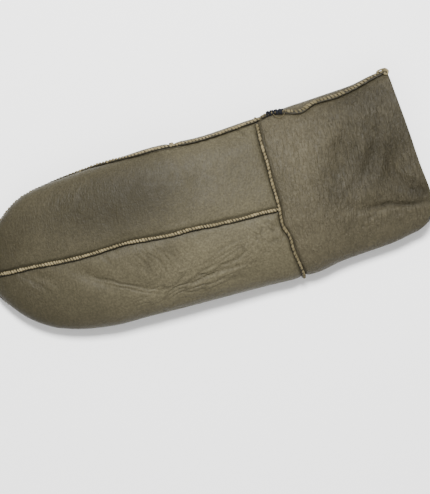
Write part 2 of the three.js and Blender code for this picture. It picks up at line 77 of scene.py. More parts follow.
# at: square root of the share of the hand's length. Sides and middle seam: shares of half the hand's width.
hand = table("at thumbSide littleSide middleSeam crown thumbEdge littleEdge thumbFloor littleFloor", [
    [0, 0.034, 0.032, 0.033, 0.19, 0.66, 0.66, 0.55, 0.61],
    [0.1, 0.32, -0.2, 0, 0.3, 0.7, 0.66, 0.27, 0.3],
    [0.2, 0.5, -0.395, 0.01, 0.43, 0.8, 0.7, 0.07, 0.08],
    [0.3, 0.665, -0.61, 0, 0.54, 0.95, 0.76, 0, 0],
    [0.4, 0.84, -0.797, -0.015, 0.65, 1.12, 0.85, 0, 0],
    [0.5, 0.925, -0.918, -0.042, 0.76, 1.38, 0.95, 0.31, 0.34],
    [0.6, 0.965, -0.987, -0.056, 0.87, 1.62, 1.04, 0.82, 0.46],
    [0.7, 0.995, -0.993, -0.05, 0.96, 1.85, 1.1, 1, 0.5],
    [0.8, 1.02, -1.005, -0.089, 1, 1.9, 1.1, 1, 0.2],
    [0.9, 0.99, -1.015, -0.115, 0.95, 1.55, 1.02, 1, 0],
    [1, 1.036, -1.028, -0.144, 0.82, 1.1, 0.95, 1, 0],
])

# at: share of the cuff's length from the wrist seam to the mouth
cuff = table("at thumbSide littleSide crown thumbEdge littleEdge", [
    [0, 1.036, -1.028, 0.82, 1.1, 0.95],
    [0.15, 1.047, -1.01, 0.83, 1.1, 1],
    [0.3, 1.059, -0.963, 0.81, 1.12, 1.03],
    [0.5, 1.076, -0.933, 0.77, 1.15, 1.05],
    [0.7, 1.1, -0.9, 0.74, 1.15, 1.05],
    [0.85, 1.148, -0.85, 0.72, 1.15, 1.05],
    [1, 1.17, -0.81, 0.7, 1.15, 1.05],
])

# mouth edge: reach as a share of the cuff's length, by the turn round the section in degrees
mouth = table("at reach", [
    [18, 0.955], [50, 0.965], [75, 0.98], [100, 1], [122, 1.02], [138, 1.005],
    [152, 0.96], [166, 0.9], [180, 0.87], [194, 0.93], [210, 1], [235, 1.01],
    [270, 0.98], [320, 0.955], [378, 0.955],
])

# cuff's side seam: its turn in degrees, by the share from the wrist to the mouth
cuffSeamLine = table("at turn", [
    [0, 18], [0.1, 10], [0.2, 18], [0.32, 29], [0.43, 22], [0.6, 24], [0.75, 20], [0.87, 17], [1, 12],
])

# the wrist seam's stray along the hand, as a share of its length, by y as a share of half the hand's width
wristWave = table("at stray", [
    [-1.03, 0.018], [-0.66, 0.006], [-0.5, 0.004], [-0.35, -0.009], [-0.11, -0.002],
    [0.34, -0.004], [0.6, -0.005], [1.03, 0.001],
])

# thumb's outline from its inner to its outer base: reach towards the fingertips as a share of the thumb's,
# and y as a share of half the hand's width
thumbOutline = table("at reach across", [
    [0, 0.5, -0.64],
    [0.1, 0.62, -0.65],
    [0.22, 0.83, -0.58],
    [0.33, 0.97, -0.42],
    [0.42, 1, -0.25],
    [0.52, 0.96, -0.02],
    [0.64, 0.84, 0.22],
    [0.76, 0.66, 0.5],
    [0.88, 0.4, 0.72],
    [1, 0, 1],
])

# soft dents: along, across, half length, half width, turn in degrees, depth, all but the turn as shares
dents = [
    [0.235, -0.36, 0.045, 0.016, -36, 0.05],
    [0.34, -0.66, 0.055, 0.018, -26, 0.075],
    [0.46, -0.69, 0.06, 0.018, 8, 0.06],
    [0.11, -0.16, 0.035, 0.016, -25, 0.035],
    [0.52, 0.45, 0.05, 0.04, 60, 0.035],
    [0.3, 0.3, 0.06, 0.03, 75, 0.025],
    [0.9, -0.45, 0.06, 0.018, -12, 0.07],
    [0.84, 0.2, 0.06, 0.035, 62, 0.08],
    [0.94, 0.02, 0.05, 0.03, 70, 0.09],
    [0.76, 0.62, 0.04, 0.03, 20, 0.045],
]
# seams across the palm: shares of the hand's length at the little-finger side and at the thumb side
slant = {"little": 0.247, "thumb": 0.425}
crotch = {"inner": 0.557, "outer": 0.708, "across": -0.64}
crotchY = crotch["across"] * halfHand


def lerp(a, b, share):
    return a + (b - a) * share


# 0 up to low, 1 from high on, with a smooth step of 3s^2 - 2s^3 between
def smooth(low, high, value):
    share = np.clip((value - low) / (high - low), 0, 1)
    return share * share * (3 - 2 * share)


# Curve through one column of a table: cubic pieces, whose slope at a row is the chord between the rows
# before and after it
def sample(rows, column, at):
    knots, values = rows["at"], rows[column]
    last = len(knots) - 1
    before = np.clip(np.arange(last + 1) - 1, 0, last)
    after = np.clip(np.arange(last + 1) + 1, 0, last)
    slopes = (values[after] - values[before]) / (knots[after] - knots[before])
    k = np.clip(np.searchsorted(knots, at) - 1, 0, last - 1)
    span = knots[k + 1] - knots[k]
    share = np.clip((at - knots[k]) / span, 0, 1)
    square, cube = share**2, share**3
    ends = values[k] * (2 * cube - 3 * square + 1) + values[k + 1] * (3 * square - 2 * cube)
    return ends + span * (slopes[k] * (cube - 2 * square + share) + slopes[k + 1] * (cube - square))


# Depth of the dents: a sum of turned bell shapes, depth * exp(-a^2 - b^2)
def dentAt(x, y):
    total = 0
    for along, across, length, width, turn, depth in dents:
        dx, dy = x - along * wholeLength, y - across * halfHand
        cosine, sine = math.cos(math.radians(turn)), math.sin(math.radians(turn))
        a = (dx * cosine + dy * sine) / (length * wholeLength)
        b = (dy * cosine - dx * sine) / (width * wholeLength)
        total = total + depth * size["crownHeight"] * np.exp(-a * a - b * b)
    return total


# The angle q gives y = middle + half * cos q. Its turn has cos(turn) = sign * |cos q|^(1 / round), so rows
# of evenly spaced angles stay even across the flattened section. The way back has the power round.
def reshaped(degrees, inverse):
    whole = np.floor(degrees / 360) * 360
    cosine = np.cos(np.radians(degrees))
    upper = np.sin(np.radians(degrees)) >= 0
    power = np.where(upper, roundness["back"], roundness["palm"]) ** inverse
    found = np.degrees(np.arccos(np.sign(cosine) * np.abs(cosine) ** power))
    return whole + np.where(upper, found, 360 - found)


def turnOf(angle):
    return reshaped(angle, -1)


def angleOf(turn):
    return reshaped(turn, 1)


def middleAndHalf(sides):
    return (sides["thumbSide"] + sides["littleSide"]) / 2, (sides["thumbSide"] - sides["littleSide"]) / 2


# Turn on the upper side at a given y: the angle there is arccos((y - middle) / half)
def topTurn(sides, y):
    middle, half = middleAndHalf(sides)
    return turnOf(np.degrees(np.arccos((y - middle) / half)))


# Flattened round section: y = middle + half * |cos|^round, z = edge + dome * |sin|^round above, and down
# to the floor's height below
def sectionPoint(x, turn, sides, floorAt):
    across, up = np.cos(np.radians(turn)), np.sin(np.radians(turn))
    upper = up >= 0
    power = np.where(upper, roundness["back"], roundness["palm"])
    middle, half = middleAndHalf(sides)
    y = middle + half * np.sign(across) * np.abs(across) ** power
    edge = lerp(sides["littleEdge"], sides["thumbEdge"], (y - sides["littleSide"]) / (2 * half))
    rise = np.abs(up) ** power
    dome = sides["crown"] - (sides["littleEdge"] + sides["thumbEdge"]) / 2
    top = edge + dome * rise - dentAt(x, y) * rise**3
    floor = floorAt(x, y)
    under = np.maximum(floor, edge - (edge - floor) * roundness["flattening"] * rise)
    return np.stack(np.broadcast_arrays(x, y, np.where(upper, top, under)), -1)


def sidesFrom(rows, at, half):
    scales = {"thumbSide": half, "littleSide": half, "crown": size["crownHeight"]}
    scales |= {"thumbEdge": size["edgeHeight"], "littleEdge": size["edgeHeight"]}
    return {name: sample(rows, name, at) * scale for name, scale in scales.items()}


def handShare(x):
    return np.sqrt(np.maximum(x, 0) / handLength)


# The underside lifts near the wrist seam by the room that its ridge takes
def wristFloor(distance):
    lift = size["ridgeHeight"] + 2 * size["ridgeClearance"]
    return lift * (1 - smooth(size["ridgeWidth"] / 2, size["ridgeWidth"] * 3, np.abs(distance)))


def littleFloor(x):
    share = np.maximum(sample(hand, "littleFloor", handShare(x)), 0)
    return share * size["thumbThickness"] + wristFloor(x - handLength)


# Height of the palm's underside: beside the thumb at its own floor, over the thumb at the thumb's height.
# The step between them lies along the thumb's inner side, between two shares of half the hand's width,
# which move in from where the thumb begins to its crotch.
palmStep = {
    "begins": 0.48,
    "tip": (-0.86, -0.7),
    "crotch": (crotch["across"] - 0.07, crotch["across"] + 0.07),
    "heel": (crotch["across"], crotch["across"] + 0.14),
}


def middleFloor(x, y):
    near = smooth(palmStep["begins"], crotch["inner"], x / handLength)
    start, end = (halfHand * lerp(a, b, near) for a, b in zip(palmStep["tip"], palmStep["crotch"]))
    room = size["thumbThickness"] + size["foldGap"]
    over = np.maximum(sample(hand, "thumbFloor", handShare(x)), 0) * room
    return lerp(littleFloor(x), over, smooth(start, end, y))


def heelFloor(x, y):
    inner = smooth(*palmStep["heel"], y / halfHand)
    return lerp(littleFloor(x), wristFloor(x - handLength), inner)


def wristStray(y):
    return handLength * sample(wristWave, "stray", np.clip(y / halfHand, *wristWave["at"][[0, -1]]))


# Hand's outer surface at a distance from the fingertips and a turn: the section there, moved along by the
# wrist's wave, which dies away towards the fingertips
def handPoint(x, turn, floorAt):
    x, turn = np.broadcast_arrays(np.asarray(x, float), np.asarray(turn, float))
    point = sectionPoint(x, turn, sidesFrom(hand, handShare(x), halfHand), floorAt)
    point[..., 0] += wristStray(point[..., 1]) * (np.maximum(x, 0) / handLength) ** 4
    return point


def backPoint(x, turn):
    return handPoint(x, turn, middleFloor)


def heelPoint(x, turn):
    return handPoint(x, turn, heelFloor)


# Cuff's outer surface at a share of the way to the mouth edge: the section at that reach
def cuffPoint(share, turn):
    share, turn = np.broadcast_arrays(np.asarray(share, float), np.asarray(turn, float))
    along = share * sample(mouth, "reach", turn)
    sides = sidesFrom(cuff, along, lerp(halfHand, halfCuff, along))
    distance = along * cuffLength
    point = sectionPoint(handLength + distance, turn, sides, lambda x, y: wristFloor(distance))
    point[..., 0] += wristStray(point[..., 1]) * (1 - share) ** 2
    return point


# Turn of the middle seam: where the section's y is the table's
def middleTurn(x):
    sides = sidesFrom(hand, handShare(x), halfHand)
    return topTurn(sides, sample(hand, "middleSeam", handShare(x)) * halfHand)


# Turn of the thumb-side seam: lower along the fingers, blended by two smooth steps
def thumbSeam(x):
    share = x / handLength
    lowered = smooth(*fingerSeam["from"], share) * (1 - smooth(*fingerSeam["to"], share))
    return lerp(seamTurn["thumb"], seamTurn["fingers"], lowered)


def littleSeam(x):
    return 0 * x + seamTurn["little"]


def cuffSeam(share):
    return sample(cuffSeamLine, "turn", share)


def unit(vectors):
    return vectors / np.maximum(np.linalg.norm(vectors, axis=-1, keepdims=True), 1e-9)


# Outward direction: the cross product of the steps round and along the surface
def outward(surface, u, turn, step):
    along = surface(u + step, turn) - surface(u - step, turn)
    around = surface(u, turn + 1) - surface(u, turn - 1)
    return unit(np.cross(around, along))


# Half of the seam's gap as an angle, from the surface's speed there
def gapAngle(surface, u, angle):
    ahead, behind = surface(u, turnOf(angle + 1)), surface(u, turnOf(angle - 1))
    return halfGap / (np.linalg.norm(ahead - behind, axis=-1) / 2)


def slantLine(y):
    share = (y + halfHand) / size["handWidth"]
    return handLength * lerp(slant["little"], slant["thumb"], share)


def crotchLine(y):
    share = np.clip((y - crotchY) / (halfHand - crotchY), 0, 1)
    return handLength * lerp(crotch["inner"], crotch["outer"], share)


# Where a line across the palm meets a turn: x = line(y(x)), found in a few rounds
def lineX(line, surface, turn):
    x = line(np.zeros_like(turn))
    for _ in range(4):
        x = line(surface(x, turn)[..., 1])
    return x


innerBaseTurn = 180 + math.degrees(math.acos(abs(crotch["across"]) ** (1 / roundness["palm"])))
outerBaseTurn = 347
climbFrom = 0.6


# Thumb's outline: x and y from its table, z at half its thickness, climbing to the palm at its outer base
def outlinePoint(share):
    outerX = handLength * crotch["outer"]
    x = outerX - sample(thumbOutline, "reach", share) * size["thumbReach"]
    y = sample(thumbOutline, "across", share) * halfHand
    baseZ = heelPoint(outerX, outerBaseTurn)[2]
    z = lerp(size["thumbThickness"] / 2, baseZ, smooth(climbFrom, 1, share))
    return np.stack([x, y, z], -1)


def outlineOutward(share):
    along = outlinePoint(np.minimum(share + 0.01, 1)) - outlinePoint(np.maximum(share - 0.01, 0))
    return unit(np.stack([-along[..., 1], along[..., 0], 0 * share], -1))


def evenly(count):
    return np.linspace(0, 1, count + 1)


print("sections ready")

# Where each seam's line starts and ends, and its steps. The middle seam's ends are in ridge widths from
# the tip and the wrist, the cuff side's and the thumb outline's are shares, and the others are degrees
# round from where the seam meets the next one.
seamEnds = {
    "middle": (1.5, 0.45, 150),
    "wrist": (8, 26, 200),
    "cuffSide": (0.03, 1, 70),
    "slant": (14, 14, 90),
    "thumbPalm": (14, 7, 14),
    "thumbOutline": (0.08, 0.97, 110),
    "thumbBase": (4, 7, 12),
}
edgeSteps = {"count": 160, "crowding": 1.4}
handStep = noseX / 2
cuffStep = 0.002


# Every seam as its line on the undipped surface, its ridge's middle and the direction that the ridge
# stands up in
def seamLine(surface, u, turn, step):
    line, up = surface(u, turn), outward(surface, u, turn, step)
    return {"line": line, "up": up, "ridge": line + up * (ridgeLift - size["seamDip"])}


def joinLines(*parts):
    return {key: np.concatenate([part[key] for part in parts]) for key in parts[0]}


def flipped(part):
    return {key: values[::-1] for key, values in part.items()}


def middleSeamLine():
    start, end, steps = seamEnds["middle"]
    x = lerp(size["ridgeWidth"] * start, handLength - size["ridgeWidth"] * end, evenly(steps))
    return seamLine(backPoint, x, middleTurn(x), handStep)


def edgeSeamLine():
    lastX = handLength - size["ridgeWidth"] / 2 - size["ridgeClearance"]
    x = lerp(noseX, lastX, evenly(edgeSteps["count"])[1:] ** edgeSteps["crowding"])
    up = np.array([[-1.0, 0, 0]])
    nose = backPoint([0.0], [90.0])
    tip = {"line": nose, "up": up, "ridge": nose + up * (ridgeLift - size["seamDip"] / 2)}
    sides = [seamLine(backPoint, x, seam(x), handStep) for seam in (thumbSeam, littleSeam)]
    start = {key: values[:1] for key, values in cuffSideSeamLine().items()}
    return joinLines(start, flipped(sides[0]), tip, sides[1])


def wristSeamLine():
    start, end, steps = seamEnds["wrist"]
    first, last = angleOf(seamTurn["thumb"] + start), angleOf(360 + seamTurn["thumb"] - end)
    angle = lerp(first, last, evenly(steps))
    return seamLine(cuffPoint, 0 * angle, turnOf(angle), cuffStep)


def cuffSideSeamLine():
    start, end, steps = seamEnds["cuffSide"]
    share = lerp(start, end, evenly(steps))
    return seamLine(cuffPoint, share, cuffSeam(share), cuffStep)


# Seam across the palm along a line, by its turns
def acrossSeamLine(surface, line, turn):
    return seamLine(surface, lineX(line, surface, turn), turn, handStep)


def slantSeamLine():
    start, end, steps = seamEnds["slant"]
    first = angleOf(seamTurn["little"] + start)
    last = angleOf(360 + thumbSeam(handLength * slant["thumb"]) - end)
    return acrossSeamLine(backPoint, slantLine, turnOf(lerp(first, last, evenly(steps))))


# The thumb's seam runs over the palm, round the thumb's outline and on up to the edge seam
def thumbSeamLine():
    start, end, steps = seamEnds["thumbPalm"]
    turn = lerp(seamTurn["little"] + start, innerBaseTurn - end, evenly(steps))
    palm = acrossSeamLine(backPoint, crotchLine, turn)
    start, end, steps = seamEnds["thumbOutline"]
    share = lerp(start, end, evenly(steps))
    line, up = outlinePoint(share), outlineOutward(share)
    start, end, steps = seamEnds["thumbBase"]
    turn = lerp(outerBaseTurn + start, 360 + seamTurn["thumb"] - end, evenly(steps))
    base = acrossSeamLine(heelPoint, crotchLine, turn)
    base["ridge"] = base["ridge"] - base["up"]
    return joinLines(palm, {"line": line, "up": up, "ridge": line + up * ridgeLift}, base)


seams = {
    "seam_back_middle": middleSeamLine(),
    "seam_edge": edgeSeamLine(),
    "seam_wrist": wristSeamLine(),
    "seam_cuff_side": cuffSideSeamLine(),
    "seam_palm_slant": slantSeamLine(),
    "seam_thumb": thumbSeamLine(),
}
print("seam lines ready")

latticeSide = 24
lattice = np.random.default_rng(11).random((latticeSide,) * 3)


# Smooth noise from -1 to 1: random numbers on a lattice, blended by smooth steps between its corners
def valueNoise(places, cell, shift=0.0):
    grid = places / cell + shift
    low = np.floor(grid).astype(int)
    part = grid - low
    part = part * part * (3 - 2 * part)
    total = np.zeros(len(places))
    for corner in np.ndindex(2, 2, 2):
        index = (low + corner) % latticeSide
        weight = np.prod(np.where(corner, part, 1 - part), axis=1)
        total += lattice[index[:, 0], index[:, 1], index[:, 2]] * weight
    return 2 * total - 1


def wavyNoise(along, cell, shift):
    places = np.stack([along, 0 * along, 0 * along], -1)
    return valueNoise(places, cell, shift)


# How far along a path each of its points is
def runAlong(path):
    return np.concatenate([[0], np.cumsum(np.linalg.norm(np.diff(path, axis=0), axis=1))])


# Nearest distance from each place to a path of straight pieces, and how far along the path that is
def pathDistance(places, path):
    start, along = path[:-1], np.diff(path, axis=0)
    lengths = np.maximum(np.linalg.norm(along, axis=1), 1e-6)
    before = np.concatenate([[0], np.cumsum(lengths)[:-1]])
    distance, reached = np.empty(len(places)), np.empty(len(places))
    for chunk in np.array_split(np.arange(len(places)), len(places) // 3000 + 1):
        offset = places[chunk, None] - start
        share = np.clip((offset * along).sum(-1) / lengths**2, 0, 1)
        apart = np.linalg.norm(offset - share[..., None] * along, axis=-1)
        best = apart.argmin(1)
        rows = np.arange(len(chunk))
        distance[chunk] = apart[rows, best]
        reached[chunk] = before[best] + share[rows, best] * lengths[best]
    return distance, reached


def records(names, rows):
    return [dict(zip(names.split(), row)) for row in rows]


# Creases pressed into the back and cuff: points in x and y, depth and half width in millimetres
creases = records("path depth width", [
    [[(72, -17), (94, -30), (112, -39), (125, -43)], 0.36, 1],
    [[(86, -29.5), (104, -38.5), (120, -45.5)], 0.26, 0.8],
    [[(122, -46), (140, -45), (152, -41), (166, -41.5), (182, -41), (199, -42)], 0.42, 1.1],
    [[(145, -45.5), (160, -42.5), (172, -38), (186, -35), (197, -31)], 0.36, 1],
    [[(118, -10), (122, -20), (125.5, -32)], 0.22, 1.3],
    [[(125, -11), (129, -22), (132, -32)], 0.22, 1.3],
    [[(131, -12), (134, -20), (137, -30)], 0.2, 1.3],
    [[(88, -6.3), (94.4, -14.3)], 0.25, 1.4],
    [[(27.7, -7.5), (42.6, -21)], 0.3, 1.6],
    [[(118, -56), (126, -61), (140, -62)], 0.4, 1.6],
    [[(214.3, -15.5), (218.8, -24.6)], 0.35, 1.4],
    [[(208, 60), (213, 55), (218, 50.5)], 0.35, 1.5],
    [[(89.4, 46.4), (80, 35), (69.9, 23.8)], 0.25, 2],
    [[(291, 40), (286, 31), (277, 18)], 0.6, 4],
    [[(312, 36), (308, 20), (300, 6), (285, -8)], 2, 5],
    [[(311, 12), (316, -6), (324, -18), (334, -26)], 1.6, 4],
    [[(282, -25), (304, -27), (322.8, -32), (336, -33)], 1.1, 2],
    [[(286.5, -22), (288, -32), (286.6, -42)], 0.4, 1.6],
])

# Wrinkled places: middle, half length and half width of the zone, the wrinkles' direction in degrees,
# their spacing, how many times longer than wide they are, and their depth
wrinkleZones = records("at reach turn spacing stretch depth", [
    [(258, 10), (22, 46), 80, 3.2, 5, 0.4],
    [(318, -12), (18, 20), 108, 3.2, 4, 0.8],
    [(300, 26), (26, 32), 66, 3.4, 5, 0.5],
    [(290, -34), (30, 12), 18, 3.2, 4, 0.5],
    [(128, -24), (22, 14), -68, 3, 4, 0.5],
    [(148, -45), (46, 11), 8, 2.4, 6, 0.95],
    [(182, -32), (26, 10), 18, 2.4, 6, 0.5],
    [(78, 36), (22, 24), 50, 3.6, 3, 0.3],
    [(208, 52), (14, 8), -42, 3, 3, 0.3],
    [(212, -24), (14, 16), -50, 2.4, 4, 0.7],
    [(34, -14), (24, 18), -40, 3.6, 3, 0.2],
])

# Soft light and dark patches, painted light and painted shade that make parts of the hand and cuff lighter
# or darker: bell shapes in x and y
patches = records("at reach tone", [
    [(6, 10), (46, 70), -0.6],
    [(110, 32), (60, 28), -0.85],
    [(56, -46), (50, 20), -0.25],
    [(150, -38), (54, 20), 0.5],
    [(200, -16), (30, 20), 0.2],
    [(246, 30), (18, 30), 0.25],
    [(332, 20), (36, 46), -0.6],
    [(296, 10), (16, 30), -0.3],
    [(271, 2), (16, 26), -0.4],
    [(160, -22), (16, 14), 0.3],
    [(206, 36), (24, 16), -0.12],
    [(300, 56), (30, 10), -0.35],
    [(328, -24), (12, 8), -0.5],
])

# How the leather lies by the seams, in millimetres: depth or height, and how far from the seam it reaches
seamRelief = {"groove": (1.2, 2.2), "dip": (0.7, 6), "turnUp": (1.8, 1.3), "pucker": (0.4, 5.5)}
pucker = {"length": 1.2, "sway": 2.6, "swayCell": 9, "within": (1.5, 3.5), "least": 0.35, "cell": 17}
clearOfSeam = (3, 9)


def bell(value, reach):
    return np.exp(-((value / reach) ** 2))


# The leather sinks beside each seam, turns up into the ridge and puckers as a wave that dies away
def seamFolds(points):
    height = np.zeros(len(points))
    nearest = np.full(len(points), 1e3)
    rise, reach = seamRelief["pucker"]
    for number, seam in enumerate(seams.values()):
        distance, reached = pathDistance(points, seam["line"][::2])
        nearest = np.minimum(nearest, distance)
        sway = pucker["sway"] * wavyNoise(reached, pucker["swayCell"], number)
        fade = bell(distance, reach) * smooth(*pucker["within"], distance)
        strength = np.clip(pucker["least"] + wavyNoise(reached, pucker["cell"], 5 + number), 0, 1)
        height += rise * np.sin(reached / pucker["length"] + sway) * fade * strength
    for depth, reach in (seamRelief["groove"], seamRelief["dip"]):
        height -= depth * bell(nearest, reach)
    rise, reach = seamRelief["turnUp"]
    return height + rise * (1 - smooth(0.4, reach, nearest)), nearest


creaseForm = {"waver": 0.8, "waverCell": 9, "atEnds": 0.25, "shoulder": 0.4, "shoulderAt": 2}


# A crease is a bell-shaped valley along a slightly wavering path, shallower at its ends, with a shoulder
# on both sides
def pressCreases(points, top, height, crease):
    flat = points * [1, 1, 0]
    waver = valueNoise(flat, creaseForm["waverCell"])[:, None] * [1, 1, 0] * creaseForm["waver"]
    atEnds = creaseForm["atEnds"]
    for spec in creases:
        path = np.array([(x, y, 0) for x, y in spec["path"]], float)
        distance, reached = pathDistance(flat + waver, path)
        along = np.clip(reached / runAlong(path)[-1], 0.02, 0.98)
        ends = atEnds + (1 - atEnds) * np.sin(np.pi * along)
        share = distance / spec["width"]
        valley = bell(share, 1) * ends * top
        shoulder = bell(share - creaseForm["shoulderAt"], 1) * ends * top
        height += spec["depth"] * (creaseForm["shoulder"] * shoulder - valley)
        # The crease mark darkens the colour along the valley as painted shade, less where the valley is
        # wide
        crease[:] = np.maximum(crease, valley * min(spec["depth"], 1) / max(spec["width"] / 2, 1))


wrinkleForm = {"bend": 2.5, "bendCell": 16, "shade": 0.6, "shaded": (0.2, 0.6)}


# Wrinkles are the sharp valleys of a noise that is stretched along their direction: (1 - |noise|)^4
def addWrinkles(points, top, height, crease):
    wrinkled = np.zeros(len(points))
    for number, zone in enumerate(wrinkleZones):
        offset = points[:, :2] - zone["at"]
        mask = np.exp(-((offset / zone["reach"]) ** 2).sum(1)) * top
        turn = math.radians(zone["turn"])
        along = offset @ [math.cos(turn), math.sin(turn)]
        aside = offset @ [-math.sin(turn), math.cos(turn)]
        bent = aside + wrinkleForm["bend"] * valueNoise(points, wrinkleForm["bendCell"], number + 0.5)
        places = np.stack([along / zone["stretch"], bent, 0 * along + 40 * number], -1)
        valley = (1 - np.abs(valueNoise(places, zone["spacing"]))) ** 4
        height -= zone["depth"] * mask * valley
        wrinkled += mask
        # Painted shade along the wrinkles' valleys, more where the zone is deeper
        shade = wrinkleForm["shade"] * smooth(*wrinkleForm["shaded"], zone["depth"])
        crease[:] = np.maximum(crease, shade * mask * valley)
    return np.clip(wrinkled, 0, 1)


# Soft swellings of the hide: size of the swelling, shift in the noise and height
swellings = [(26, 3.3, 0.55), (11, 7.1, 0.22), (4, 1.7, 0.06)]


# Relief of the leather along its outward direction, in millimetres: seams, creases, wrinkles, swellings
def relief(points, normals):
    height, nearest = seamFolds(points)
    crease = np.zeros(len(points))
    clear = smooth(*clearOfSeam, nearest)
    top = smooth(0.15, 0.6, normals[:, 2])
    pressCreases(points, top, height, crease)
    wrinkled = addWrinkles(points, top * clear, height, crease)
    side = smooth(-0.3, 0.4, normals[:, 2])
    for cell, shift, rise in swellings:
        height += clear * side * rise * valueNoise(points, cell, shift)
    return height, crease, wrinkled, nearest


# Sum of the patches' painted light and shade at each point
def paintedLightAndShadeAt(points):
    total = np.zeros(len(points))
    for patch in patches:
        away = (points[:, :2] - patch["at"]) / patch["reach"]
        total += patch["tone"] * np.exp(-(away**2).sum(1))
    return total


# Grid of corner numbers to two triangles per cell
def gridTriangles(index):
    a, b = index[:-1, :-1].ravel(), index[:-1, 1:].ravel()
    c, d = index[1:, 1:].ravel(), index[1:, :-1].ravel()
    return np.concatenate([np.stack([a, c, d], -1), np.stack([a, b, c], -1)])


# Mean direction of the triangles round each point, weighted by their areas
def pointNormals(points, triangles):
    a, b, c = (points[triangles[:, k]] for k in range(3))
    facing = np.cross(b - a, c - a)
    normals = np.zeros_like(points)
    for k in range(3):
        np.add.at(normals, triangles[:, k], facing)
    return unit(normals)


sharpEdge = 1.0


def solidObject(name, points, triangles, slots, materials, marks=None):
    mesh = bpy.data.meshes.new(name)
    mesh.vertices.add(len(points))
    mesh.vertices.foreach_set("co", ((points + rowShift) / 1000).astype(np.float32).ravel())
    mesh.loops.add(len(triangles) * 3)
    mesh.loops.foreach_set("vertex_index", triangles.astype(np.int32).ravel())
    mesh.polygons.add(len(triangles))
    mesh.polygons.foreach_set("loop_start", np.arange(0, len(triangles) * 3, 3, dtype=np.int32))
    mesh.polygons.foreach_set("material_index", slots.astype(np.int32))
    for material in materials:
        mesh.materials.append(material)
    for mark, values in (marks or {}).items():
        data = mesh.attributes.new(mark, "FLOAT", "POINT").data
        data.foreach_set("value", values.astype(np.float32))
    mesh.update(calc_edges=True)
    mesh.polygons.foreach_set("use_smooth", np.ones(len(triangles), bool))
    mesh.set_sharp_from_angle(angle=sharpEdge)
    made = bpy.data.objects.new(name, mesh)
    bpy.context.scene.collection.objects.link(made)
    print(name, len(triangles), "triangles")
    return made


wall = {"joinWithin": 0.002, "pinch": (-2, 22), "allSkin": 0.8, "seamShadeReach": 1.5}


# Grids joined to one sheet: corners that meet become one, and triangles without area go
def joinGrids(grids):
    points = np.concatenate([grid.reshape(-1, 3) for grid in grids])
    triangles, start = [], 0
    for grid in grids:
        count = grid.shape[0] * grid.shape[1]
        triangles.append(gridTriangles(start + np.arange(count).reshape(grid.shape[:2])))
        start += count
    cells = np.round(points / wall["joinWithin"]).astype(np.int64)
    _, first, same = np.unique(cells, axis=0, return_index=True, return_inverse=True)
    triangles = same.ravel()[np.concatenate(triangles)]
    a, b, c = triangles.T
    return points[first], triangles[(a != b) & (b != c) & (c != a)]


# Strip of triangles that joins the skin's open rim to the napped side's, whose corners are numbered after
# the skin's
def rimStrip(triangles, count):
    edges = np.concatenate([triangles[:, [0, 1]], triangles[:, [1, 2]], triangles[:, [2, 0]]])
    keys = edges[:, 0] * count + edges[:, 1]
    a, b = edges[~np.isin(keys, edges[:, 1] * count + edges[:, 0])].T
    return np.concatenate([np.stack([b, a, a + count], -1), np.stack([b, a + count, b + count], -1)])


# Leather panel from grids of surface points: the skin takes its relief, the napped side lies one wall's
# thickness inside it, and a strip closes the wall all round the cut edge. The wall thins down by a smooth
# step where it is pinched at the thumb's outer base, and is all skin there.
def leatherPanel(name, grids, materials):
    points, triangles = joinGrids(grids)
    normals = pointNormals(points, triangles)
    height, crease, wrinkled, nearest = relief(points, normals)
    outer = points + normals * height[:, None]
    soft = pointNormals(outer, triangles)
    thinning = smooth(*wall["pinch"], np.linalg.norm(points - outlinePoint(np.ones(1)), axis=1))
    inner = outer - unit(normals + soft) * size["leather"] * thinning[:, None]
    count = len(points)
    strip = rimStrip(triangles, count)
    faces = np.concatenate([triangles, triangles[:, ::-1] + count, strip])
    slots = np.repeat([0, 1, 2], [len(triangles), len(triangles), len(strip)])
    slots[(thinning[faces % count] < wall["allSkin"]).any(1)] = 0
    # The crease and seam marks carry painted shade (with some grime by the seams), the tone mark the
    # patches' painted light and shade
    marks = {
        "crease": np.concatenate([crease, 0 * crease]),
        "wrinkled": np.concatenate([wrinkled, 0 * wrinkled]),
        "seamShadeNear": np.tile(bell(np.maximum(nearest - wall["seamShadeReach"], 0), wall["seamShadeReach"]), 2),
        "tone": np.tile(paintedLightAndShadeAt(points), 2),
    }
    return solidObject(name, np.concatenate([outer, inner]), faces, slots, materials, marks)


# Rows along each grid and columns across it
meshRows = {"thumbHalf": 290, "littleHalf": 300, "fingers": 84, "middle": 76, "heel": 80, "cuff": 104}
meshColumns = {"thumbHalf": 130, "littleHalf": 150, "cuff": 330}
palmColumns = {"beside": 26, "thumb": 104, "edge": 22, "unfolded": 8}
thumbRows = {"back": 56, "front": 64}
rowCrowding = {"back": 1.35, "fingers": 1.4, "thumb": 1.7}


# Half of the back: rows along the hand, columns evenly between two seams' angles less half a gap
def backGrid(startTurn, endTurn, half):
    x = lerp(noseX, wristEdge, evenly(meshRows[half]) ** rowCrowding["back"])[:, None]
    start, end = angleOf(startTurn(x)), angleOf(endTurn(x))
    start = start + gapAngle(backPoint, x, start)
    end = end - gapAngle(backPoint, x, end)
    return backPoint(x, turnOf(lerp(start, end, evenly(meshColumns[half])[None, :])))


# Angles of the palm's columns: beside the thumb, under it, and up the thumb-side edge
def palmAngles(surface, littleX, thumbX):
    first = angleOf(littleSeam(littleX))
    first = first + gapAngle(surface, littleX, first)
    last = angleOf(360 + thumbSeam(thumbX))
    last = last - gapAngle(surface, thumbX, last)
    inner = 0 * last + angleOf(innerBaseTurn)
    outer = np.minimum(angleOf(outerBaseTurn), last)
    parts = {"beside": (first, inner), "thumb": (inner, outer), "edge": (outer, last)}
    columns = [lerp(*ends, evenly(palmColumns[part]))[:, :-1] for part, ends in parts.items()]
    return np.concatenate([*columns, last], axis=1)


